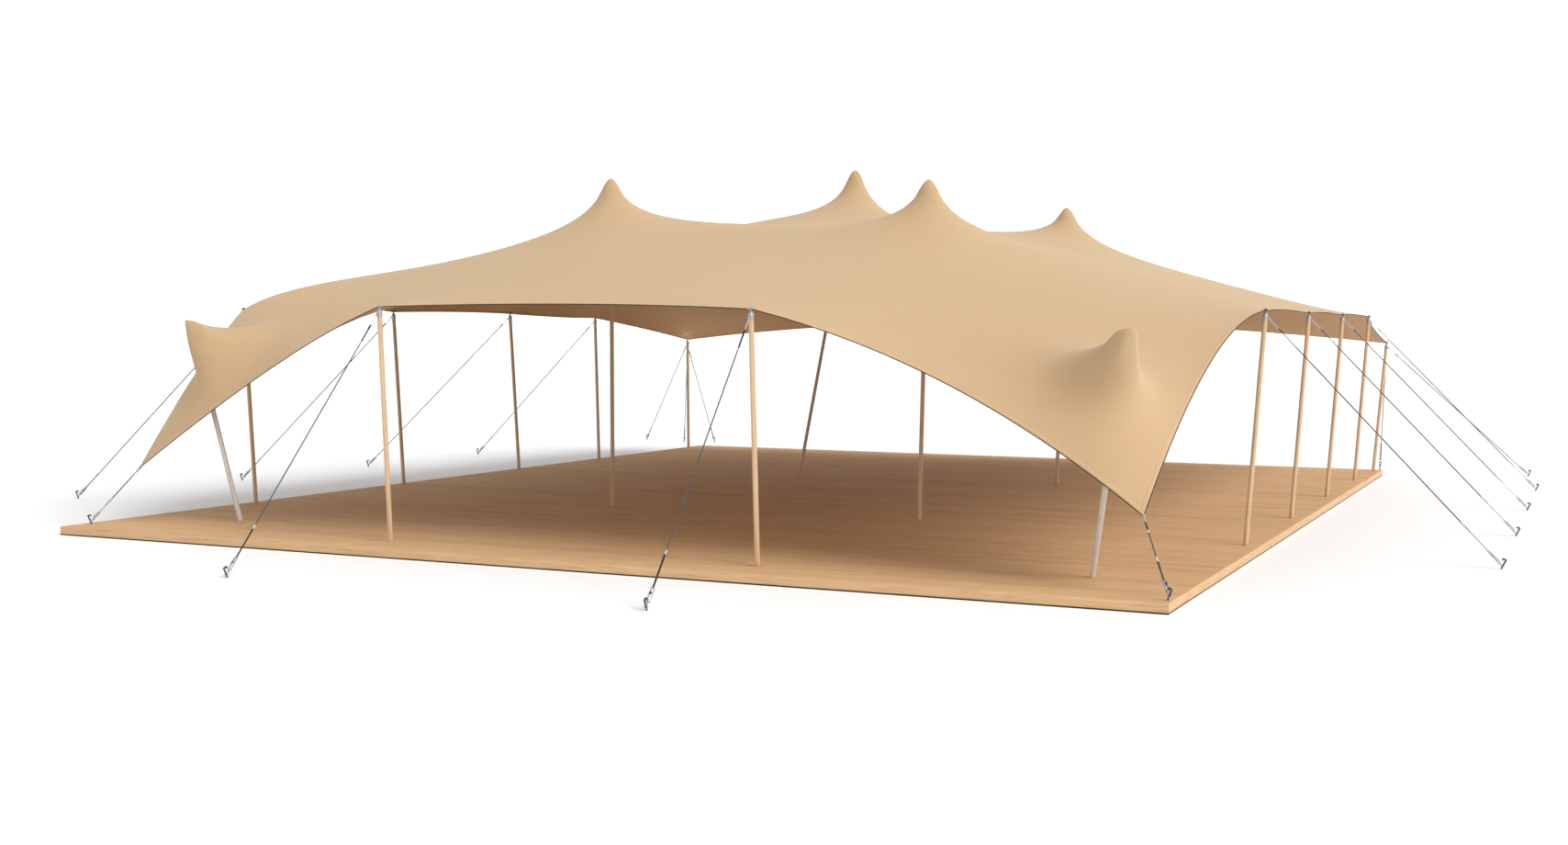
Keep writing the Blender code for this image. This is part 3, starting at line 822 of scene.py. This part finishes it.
def make_boards():
    """The floor's boards, side by side across the deck's length, with staggered ends."""
    rng = np.random.default_rng(BOARD_SEED)
    half_width = DECK_WIDTH / 2 - EDGE_THICKNESS - CONTACT_GAP
    half_length = DECK_LENGTH / 2 - EDGE_THICKNESS - CONTACT_GAP
    count = round(2 * half_length / BOARD_WIDTH)
    pitch = 2 * half_length / count
    bottom = DECK_HEIGHT - BOARD_THICKNESS
    verts = []
    faces = []
    uvs = []
    tones = []
    c = BOARD_CHAMFER
    for row in range(count):
        y0 = -half_length + row * pitch + BOARD_GAP / 2
        y1 = -half_length + (row + 1) * pitch - BOARD_GAP / 2
        x = -half_width
        end = x + rng.uniform(SHORTEST_FIRST_BOARD, BOARD_LENGTHS[1])
        while x < half_width - 0.01:
            if half_width - end < SHORTEST_LAST_BOARD:
                end = half_width
            x0 = x + (BOARD_GAP / 2 if x > -half_width else 0.0)
            x1 = end - (BOARD_GAP / 2 if end < half_width else 0.0)
            base = len(verts)
            verts += [(x0, y0, bottom), (x1, y0, bottom), (x1, y1, bottom), (x0, y1, bottom)]
            side = DECK_HEIGHT - c
            verts += [(x0, y0, side), (x1, y0, side), (x1, y1, side), (x0, y1, side)]
            verts += [(x0 + c, y0 + c, DECK_HEIGHT), (x1 - c, y0 + c, DECK_HEIGHT)]
            verts += [(x1 - c, y1 - c, DECK_HEIGHT), (x0 + c, y1 - c, DECK_HEIGHT)]
            shift = (rng.uniform(0.0, GRAIN_SHIFT), rng.uniform(0.0, GRAIN_SHIFT))
            tones += [float(np.clip(rng.normal(*BOARD_TONES), 0.0, 1.0))] * 12
            quads = [(3, 2, 1, 0), (8, 9, 10, 11)]
            for a, b in ((0, 4), (4, 8)):
                quads += [(a + k, a + (k + 1) % 4, b + (k + 1) % 4, b + k) for k in range(4)]
            for quad in quads:
                faces.append(tuple(base + k for k in quad))
                for k in quad:
                    p = verts[base + k]
                    uvs.append((p[0] + shift[0], p[1] + shift[1] + p[2]))
            x = end
            end = x + rng.uniform(*BOARD_LENGTHS)
    mesh = bpy.data.meshes.new("deck_boards")
    mesh.from_pydata(verts, [], faces)
    mesh.materials.append(MATERIALS["boards"])
    layer = mesh.uv_layers.new(name="UVMap")
    layer.data.foreach_set("uv", [v for uv in uvs for v in uv])
    tone = mesh.attributes.new("tone", "FLOAT", "POINT")
    tone.data.foreach_set("value", tones)
    mesh.update()
    made = added("deck_boards", mesh)
    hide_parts("deck_floor")


def make_edge(name, low, high, lengthwise, outward):
    """One edge board with rounded arrises, on a plinth set back behind it, its near-black colour partly a
    dark rubber strip and partly painted shadow for the gap under the board.
    """
    low = Vector(low)
    high = Vector(high)
    low.z = PLINTH_HEIGHT
    edit = bmesh.new()
    bmesh.ops.create_cube(edit, size=1.0)
    size = Matrix.Diagonal((*(high - low), 1.0))
    bmesh.ops.transform(edit, matrix=Matrix.Translation((low + high) / 2) @ size, verts=edit.verts)
    bmesh.ops.bevel(edit, geom=edit.edges, offset=EDGE_ROUND, segments=3, profile=0.5, affect="EDGES")
    layer = edit.loops.layers.uv.new("UVMap")
    for face in edit.faces:
        for loop in face.loops:
            p = loop.vert.co
            loop[layer].uv = (p[lengthwise] + 3.7 * low.x, p[1 - lengthwise] + p.z + low.y)
    mesh = bpy.data.meshes.new(name)
    edit.to_mesh(mesh)
    edit.free()
    mesh.materials.append(MATERIALS["edges"])
    mesh.shade_smooth()
    mesh.set_sharp_from_angle(angle=math.radians(50))
    made = added(name, mesh)
    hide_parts(name.replace("_board", ""))
    low.z = 0.0
    high.z = PLINTH_HEIGHT + PLINTH_OVERLAP
    side = 1 - lengthwise
    if outward > 0:
        high[side] -= PLINTH_INSET
    else:
        low[side] += PLINTH_INSET
    plinth = Shape()
    plinth.block(low, high, "plinth")
    strip = plinth.build(name.replace("_board", "_plinth"))


def make_deck():
    make_boards()
    x = DECK_WIDTH / 2
    y = DECK_LENGTH / 2
    t = EDGE_THICKNESS
    inner = y - t - CONTACT_GAP
    make_edge("deck_edge_front_board", (-x, -y, 0), (x, -y + t, DECK_HEIGHT), 0, -1)
    make_edge("deck_edge_back_board", (-x, y - t, 0), (x, y, DECK_HEIGHT), 0, 1)
    make_edge("deck_edge_left_board", (-x, -inner, 0), (-x + t, inner, DECK_HEIGHT), 1, -1)
    make_edge("deck_edge_right_board", (x - t, -inner, 0), (x, inner, DECK_HEIGHT), 1, 1)
    for name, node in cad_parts.items():
        if name.startswith("deck_bearer"):
            node.data.materials.clear()
            node.data.materials.append(MATERIALS["bearers"])


# Poles


def outer_feet(places):
    """Where each outer pole stands: straight below its head, a little further in."""
    feet = {}
    for name, head in places.items():
        foot = Vector((head.x, head.y, DECK_HEIGHT))
        lean = SMALLER_LEANS.get(name, OUTWARD_LEAN)
        if name.startswith("left"):
            foot.x += lean
        if name.startswith("right"):
            foot.x -= lean
        if name.startswith("front"):
            foot.y += lean
        feet[name] = foot
    return feet


def pole_start(head, foot, radius):
    lean = math.atan2((head - foot).to_2d().length, (head - foot).z)
    return foot + Vector((0.0, 0.0, radius * math.sin(lean) + CONTACT_GAP))


def dressed_pole(node, head, foot, radius, material, collar):
    """A round pole with eased ends: an outer one ends under its collar, an inner one in a dark point."""
    start = pole_start(head, foot, radius)
    length = (head - start).length
    cap = radius * POINT_SLOPE
    top = length - COLLAR_RADIUS * CAP_SLOPE if collar else length - cap
    boot = radius - 0.001
    eased = radius - POLE_EASE
    shape = Shape()
    shape.turned([(radius - 0.004, 0.0), (boot, POLE_EASE), (boot, FOOT_TOP)], material, sides=POLE_SIDES)
    body = [(eased, FOOT_TOP), (radius, FOOT_TOP + 0.004)]
    body += [(radius, FOOT_TOP + (top - FOOT_TOP) * k / 6) for k in range(1, 6)]
    body += [(radius, top - POLE_EASE), (eased, top)]
    shape.turned(body, material, sides=POLE_SIDES)
    if not collar:
        nose = [(eased, top), (radius * 0.80, top + cap * 0.30), (radius * 0.5, top + cap * 0.62)]
        nose += [(radius * 0.2, top + cap * 0.86), (0.0004, length - 0.001)]
        shape.turned(nose, "rubber", sides=POLE_SIDES)
    pole = shape.build(f"{node}_dressed", aimed(start, head))
    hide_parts(node)


def eye_lug(shape, place):
    """A welded plate with a bolt that stands out from a collar along the place's +X."""
    half = LUG_THICKNESS / 2
    outline = [(-LUG_ROOT, COLLAR_RADIUS - 0.004), (LUG_ROOT, COLLAR_RADIUS - 0.004)]
    for step in range(9):
        angle = math.pi * step / 8
        outline.append((LUG_ROUND * math.cos(angle), EYE_REACH + LUG_ROUND * math.sin(angle)))
    verts = [place @ Vector((x, -half, z)) for z, x in outline]
    verts += [place @ Vector((x, half, z)) for z, x in outline]
    k = len(outline)
    faces = [tuple(range(k)), tuple(range(2 * k - 1, k - 1, -1))]
    faces += [(s, (s + 1) % k, (s + 1) % k + k, s + k) for s in range(k)]
    shape.add(verts, faces, "zinc")
    bolt = [(0.009, -0.016), (0.010, -0.015), (0.010, -0.010), (0.005, -0.010)]
    bolt += [(0.005, 0.010), (0.010, 0.010), (0.010, 0.015), (0.009, 0.016)]
    shape.turned(bolt, "zinc", place @ moved(EYE_REACH, 0.0, 0.0) @ quarter("X"), 6)


def collar_side(head, foot, stake, lower):
    """The point of a pole's axis level with a guy's eye, and the way out from it to the stake."""
    axis = (head - foot).normalized()
    centre = head - axis * (GUY_DROP + lower)
    outward = stake - centre
    return centre, (outward - axis * outward.dot(axis)).normalized()


def make_collar(name, head, foot, stakes):
    """An outer pole's steel sleeve and cone, the cloth's clamp on it and a lug for each guy."""
    axis = (head - foot).normalized()
    place = aimed(head, head + axis)
    cone = COLLAR_RADIUS * CAP_SLOPE
    shape = Shape()
    r = COLLAR_RADIUS
    bottom = -cone - SLEEVE_LENGTH
    profile = [(POLE_RADIUS + 0.0006, bottom), (r - 0.002, bottom), (r, bottom + 0.003)]
    profile += [(r, bottom + 0.010), (r - 0.0025, bottom + 0.013), (r - 0.0025, -cone - 0.014)]
    profile += [(r, -cone - 0.011), (r, -cone - 0.002), (r - 0.004, -cone + 0.003)]
    profile += [(r * 0.45, -cone * 0.42), (0.012, -0.020), (0.012, -0.004), (0.0005, -0.001)]
    shape.turned(profile, "zinc", place, POLE_SIDES)
    for angle in SCREW_ANGLES:
        spot = place @ Matrix.Rotation(angle, 4, "Z") @ moved(r - 0.004, 0.0, bottom + 0.035)
        shape.turned([(0.006, 0.0), (0.006, 0.004), (0.004, 0.006)], "zinc", spot @ quarter("Y"), 12)
    rim = CLAMP_RADIUS
    clamp = [(rim, -0.0005), (rim, 0.004), (rim * 0.8, 0.010), (0.016, 0.013), (0.016, 0.022)]
    clamp += [(0.012, 0.026), (0.0005, 0.027)]
    finish = "zinc" if name.startswith("front") else "stake"
    shape.turned(clamp, finish, place @ moved(0.0, 0.0, CLOTH_THICKNESS + 0.001), 20)
    for stake, lower in stakes:
        centre, outward = collar_side(head, foot, stake, lower)
        eye_lug(shape, Matrix.Translation(centre) @ axes(outward, axis.cross(outward), axis))
    made = shape.build(f"collar_{name}")


# Guy lines


def make_stake(shape, place):
    """A bent round stake with an upset head, in a place whose +X runs towards the tent."""
    lean = STAKE_LEAN
    top = STAKE_HEIGHT
    path = [(0.0, 0.0, 0.001)]
    path += [(-lean * t, 0.0, top * t) for t in (0.3, 0.6, 0.85)]
    path += [(-lean * 0.97, 0.0, top * 0.95), (-lean * 0.95 + 0.004, 0.0, top)]
    path += [(-lean + 0.016, 0.0, top + 0.004), (STAKE_HEAD - lean - 0.006, 0.0, top + 0.005)]
    shape.tube(path, STAKE_RADIUS * 0.92, "stake", 12, place=place)
    end = place @ moved(STAKE_HEAD - lean - 0.012, 0.0, top + 0.005) @ quarter("Y")
    head = [(0.010, 0.0), (0.0155, 0.002), (0.017, 0.006), (0.0155, 0.011), (0.009, 0.013)]
    shape.turned(head, "stake", end, 16)
    ring = [(a, b, 0.0) for a, b in circle(STAKE_LOOP_RADIUS)]
    tilt = Matrix.Rotation(math.atan2(-lean, top), 4, "Y")
    loop = place @ moved(-lean * 0.26, 0.0, STAKE_HOOK_HEIGHT) @ tilt
    shape.tube(ring, LOOP_WIRE, "zinc", 8, closed=True, place=loop)


def stadium(width, low, high, steps=7):
    """Points of a long loop in the XZ plane."""
    points = []
    for centre, start in ((high, 0.0), (low, math.pi)):
        for step in range(steps):
            angle = start + math.pi * step / (steps - 1)
            points.append((width * math.cos(angle), 0.0, centre + width * math.sin(angle)))
    return points


def make_ratchet(shape, low, high):
    """A ratchet tensioner along +Z: hook, side plates, spindle, handle and wound webbing."""
    mid = (low + high) / 2
    shape.tube([(0.0, 0.0, 0.012), (0.0, 0.0, low + 0.02)], 0.0045, "zinc", 8)
    shape.tube(stadium(0.012, low - 0.004, low + 0.018), LOOP_WIRE, "zinc", 8, closed=True)
    for near, far in ((-0.0195, -0.0165), (0.0165, 0.0195)):
        shape.block((-0.010, near, low + 0.010), (0.012, far, high - 0.010), "zinc")
        shape.block((0.006, near, mid - 0.012), (0.022, far, high - 0.030), "zinc")
    for z, radius in ((low + 0.022, 0.0045), (mid + 0.020, 0.0085), (high - 0.022, 0.0045)):
        pin = moved(0.0, 0.0, z) @ quarter("X")
        shape.turned([(radius, -0.021), (radius, 0.021)], "zinc", pin, 14)
    coil = [(0.0145, -0.0125), (0.0155, -0.0115), (0.0155, 0.0115), (0.0145, 0.0125)]
    shape.turned(coil, "webbing", moved(0.0, 0.0, mid + 0.020) @ quarter("X"), 18)
    handle = [(0.018, -0.016, mid + 0.01), (0.021, -0.016, mid - 0.05), (0.016, -0.012, low + 0.018)]
    handle += [(x, -y, z) for x, y, z in reversed(handle)]
    shape.tube(handle, 0.003, "zinc", 8)
    shape.block((0.010, -0.013, low + 0.016), (0.022, 0.013, low + 0.045), "zinc", chamfer=0.003)


def make_guy(node, top, stake_base, short=False):
    """A guy line with its shackle, tail, rope, strap, ratchet and stake."""
    toward = (top - stake_base).to_2d().to_3d().normalized()
    hook = stake_base + Vector((0.0, 0.0, STAKE_HOOK_HEIGHT))
    hook -= toward * STAKE_LEAN * STAKE_HOOK_HEIGHT / STAKE_HEIGHT
    place = aimed(hook, top)
    length = (top - hook).length
    share = SHORT_GUY_SHARE if short else 1.0
    tail = TAIL_LENGTH * share
    shackle = SHACKLE_LENGTH * share
    ratchet_high = RATCHET_LOW + RATCHET_LENGTH * (0.7 if short else 1.0)
    strap_high = ratchet_high + STRAP_LENGTH * (0.5 if short else 1.0)
    tail_low = length - shackle - tail
    shape = Shape()
    make_ratchet(shape, RATCHET_LOW, ratchet_high)
    path = [(0.0, ratchet_high - 0.03), (0.002, ratchet_high), (0.0, strap_high - 0.05), (0.0, strap_high)]
    shape.strap(path, WEBBING_WIDTH, 0.005)
    path = [(0.0, strap_high - 0.09), (0.0045, strap_high - 0.085), (0.0045, strap_high - 0.01)]
    shape.strap(path, NARROW_WEBBING, 0.004)
    socket = [(0.006, 0.0), (0.011, 0.003), (0.011, 0.028), (0.008, 0.032)]
    shape.turned(socket, "zinc", moved(0.0, 0.0, strap_high - 0.008), 14)
    rope_low = strap_high + 0.01
    spans = max(2, round((tail_low - rope_low) / ROPE_SPAN))
    rope = [(ROPE_RADIUS, rope_low + (tail_low + 0.01 - rope_low) * k / spans) for k in range(spans + 1)]
    shape.turned(rope, "rope", sides=14)
    for z in (rope_low + 0.012, tail_low - 0.035):
        clip = [(ROPE_RADIUS + 0.001, z), (ROPE_RADIUS + 0.003, z + 0.002)]
        clip += [(ROPE_RADIUS + 0.003, z + 0.024), (ROPE_RADIUS + 0.001, z + 0.026)]
        shape.turned(clip, "zinc", sides=14)
    tail_high = length - shackle + 0.012
    path = [(0.0, tail_low), (0.0, tail_low + tail * 0.5), (0.0, tail_high)]
    shape.strap(path, NARROW_WEBBING, 0.008)
    if not short:
        path = [(0.0, tail_high - 0.07), (0.004, tail_high - 0.06), (0.004, tail_high)]
        shape.strap(path, WEBBING_WIDTH, 0.010)
    bow = stadium(0.0105, tail_high - 0.004, length - 0.016)
    shape.tube(bow, SHACKLE_WIRE, "zinc", 10, closed=True)
    link = stadium(0.0085, length - 0.020, length - 0.002)
    shape.tube(link, LOOP_WIRE, "zinc", 8, closed=True, place=quarter("Z"))
    up = Vector((0.0, 0.0, 1.0))
    upright = Matrix.Translation(stake_base) @ axes(toward, up.cross(toward), up)
    make_stake(shape, place.inverted() @ upright)
    guy = shape.build(f"{node}_dressed", place)
    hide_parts(node)


def collar_eye(head, foot, stake, lower):
    """The centre of a guy's top eye, beside the pole's collar on the side of the stake."""
    centre, outward = collar_side(head, foot, stake, lower)
    return centre + outward * EYE_REACH


# Each guy's pole, its stake's place from the deck's left and front edges, and how much lower
# than the others it meets the collar.
GUYS = {
    "guy_front_1": ("front_1", (4.98, -2.2), 0.0),
    "guy_front_2": ("front_2", (10.48, -2.12), 0.0),
    "guy_left_1": ("left_1", (-3.76, 3.9), 0.0),
    "guy_left_2": ("left_2", (-3.76, 7.85), 0.0),
    "guy_left_3": ("left_3", (-3.76, 11.6), 0.0),
    "guy_left_4": ("left_4", (-3.80, 15.6), 0.0),
    "guy_left_5_side": ("left_5", (-3.0, 22.0), 0.0),
    "guy_left_5_middle": ("left_5", (-1.7, 21.6), 0.038),
    "guy_left_5_back": ("left_5", (-1.0, 21.9), 0.076),
    "guy_right_1": ("right_1", (18.3, 5.3), 0.0),
    "guy_right_2": ("right_2", (18.3, 9.15), 0.0),
    "guy_right_3": ("right_3", (18.3, 13.1), 0.0),
    "guy_right_4": ("right_4", (18.3, 17.0), 0.0),
    "guy_right_5_side": ("right_5", (18.05, 20.4), 0.0),
    "guy_right_5_back": ("right_5", (15.21, 20.5), 0.0),
}
TIP_GUYS = {
    "guy_corner_left": ("tip_left", (0.18, 0.40)),
    "guy_corner_right": ("tip_right", (15.345, 0.20)),
}


def make_tip_ring(name, tip, away):
    """The steel ring and plate at a low corner of the sheet."""
    shape = Shape()
    place = aimed(tip, tip - away)
    plate = [(0.020, -0.006), (0.022, -0.005), (0.022, 0.005), (0.020, 0.006)]
    shape.turned(plate, "zinc", place @ quarter("X"), 20)
    ring = [(a, 0.0, b - 0.014) for a, b in circle(CORNER_RING_RADIUS)]
    shape.tube(ring, SHACKLE_WIRE, "zinc", 8, closed=True, place=place)
    made = shape.build(f"corner_ring_{name}")


def make_poles_and_guys(places, grid, nodes):
    feet = outer_feet(places)
    lowest = STAKE_RADIUS * STAKE_LEAN / STAKE_HEIGHT
    stakes = {}
    for node, (pole, stake, lower) in GUYS.items():
        base = on_ground(*stake) + Vector((0.0, 0.0, lowest))
        stakes.setdefault(pole, []).append((base, lower))
        make_guy(node, collar_eye(places[pole], feet[pole], base, lower), base)
    for node, (tip, stake) in TIP_GUYS.items():
        base = on_deck(*stake, lowest + CONTACT_GAP)
        away = (base - places[tip]).normalized()
        make_guy(node, places[tip] + away * (EYE_RADIUS + CONTACT_GAP), base, short=True)
        make_tip_ring(tip.replace("tip_", ""), places[tip], away)
    for name, foot in feet.items():
        if not name.startswith("tip"):
            head = places[name]
            dressed_pole(f"pole_{name}", head, foot, POLE_RADIUS, "wood", True)
            make_collar(name, head, foot, stakes[name])
    for name, (_, foot) in KING_POLES.items():
        head = Vector(grid[nodes[name]])
        stand = on_deck(*foot, 0.0)
        dressed_pole(f"pole_{name}", head, stand, POLE_RADIUS, "wood", False)
    for name, (_, foot) in CORNER_POLES.items():
        head = corner_head(grid, nodes[name])
        stand = on_deck(*foot, 0.0)
        dressed_pole(f"pole_{name}", head, stand, CORNER_POLE_RADIUS, "pale", False)


# Studio


def make_camera():
    camera = bpy.data.cameras.new("view")
    camera.sensor_width = CAMERA_SENSOR
    camera.lens = CAMERA_LENS
    camera.clip_end = CAMERA_REACH
    made = bpy.data.objects.new("view", camera)
    right = Vector(CAMERA_RIGHT).normalized()
    forward = Vector(CAMERA_FORWARD).normalized()
    made.matrix_world = moved(*CAMERA_PLACE) @ axes(right, right.cross(forward), -forward)
    bpy.context.scene.collection.objects.link(made)
    bpy.context.scene.camera = made


def make_key_light():
    lamp = bpy.data.lights.new("key", "SUN")
    lamp.energy = KEY_STRENGTH
    lamp.angle = math.radians(KEY_SPREAD)
    made = bpy.data.objects.new("key", lamp)
    made.rotation_mode = "QUATERNION"
    made.rotation_quaternion = Vector(KEY_DIRECTION).to_track_quat("Z", "Y")
    bpy.context.scene.collection.objects.link(made)


def make_studio():
    edit = bmesh.new()
    bmesh.ops.create_circle(edit, cap_ends=True, radius=FLOOR_RADIUS, segments=FLOOR_SIDES)
    mesh = bpy.data.meshes.new("studio_floor")
    edit.to_mesh(mesh)
    edit.free()
    mesh.materials.append(MATERIALS["floor"])
    floor = bpy.data.objects.new("studio_floor", mesh)
    bpy.context.scene.collection.objects.link(floor)
    world = bpy.data.worlds.new("studio")
    world.use_nodes = True
    tree = world.node_tree
    sky = tree.nodes["Background"]
    sky.inputs["Color"].default_value = (1.0, 1.0, 1.0, 1.0)
    toward = tree.nodes.new("ShaderNodeTexCoord")
    parts = tree.nodes.new("ShaderNodeSeparateXYZ")
    fade = tree.nodes.new("ShaderNodeMapRange")
    fade.interpolation_type = "SMOOTHSTEP"
    fade.inputs["From Min"].default_value = HORIZON_TOP
    fade.inputs["From Max"].default_value = OVERHEAD_FROM
    fade.inputs["To Min"].default_value = HORIZON_SKY
    fade.inputs["To Max"].default_value = OVERHEAD_SKY
    tree.links.new(toward.outputs["Generated"], parts.inputs[0])
    tree.links.new(parts.outputs[2], fade.inputs["Value"])
    tree.links.new(fade.outputs["Result"], sky.inputs["Strength"])
    bpy.context.scene.world = world
    bpy.context.scene.view_settings.view_transform = "Standard"
    make_key_light()


make_camera()
places = hem_points()
grid, nodes = form_sheet(places)
cloth, under, over, upward = make_cloth(grid, nodes)
hem, piping = make_hem(under, over, upward)
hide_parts("canopy")
make_deck()
make_poles_and_guys(places, grid, nodes)
make_studio()
